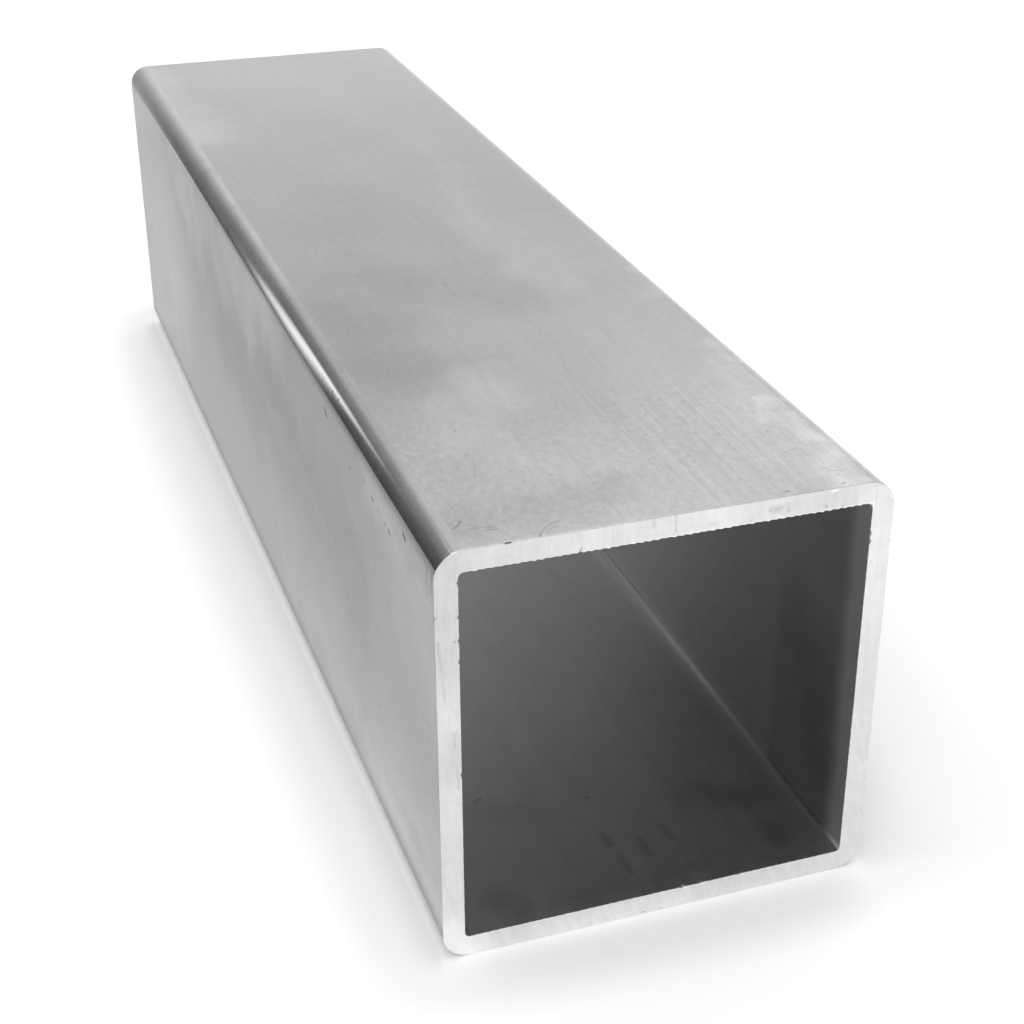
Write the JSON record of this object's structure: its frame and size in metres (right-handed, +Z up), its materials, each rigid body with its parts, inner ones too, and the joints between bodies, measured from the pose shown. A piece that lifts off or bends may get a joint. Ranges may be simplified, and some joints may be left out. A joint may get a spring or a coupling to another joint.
{
  "type": "square tube",
  "caption": "Straight square metal tube with even walls, rounded long edges and an open square bore, sawn square at both ends.",
  "frame": {"origin": "on the ground, under the middle of the tube: the centre of the lower outer flat", "axes": "+Y along the tube, -Y out of the near sawn end; X across the tube; +Z up, away from the flat that it lies on"},
  "size_m": [0.05, 0.195, 0.05],
  "materials": {
    "mill_aluminium": "mill finish: softly clouded satin with faint lengthwise die lines, and bright sawn ends"
  },
  "bodies": {
    "root": {"tube": "mill_aluminium"}
  },
  "joints": []
}
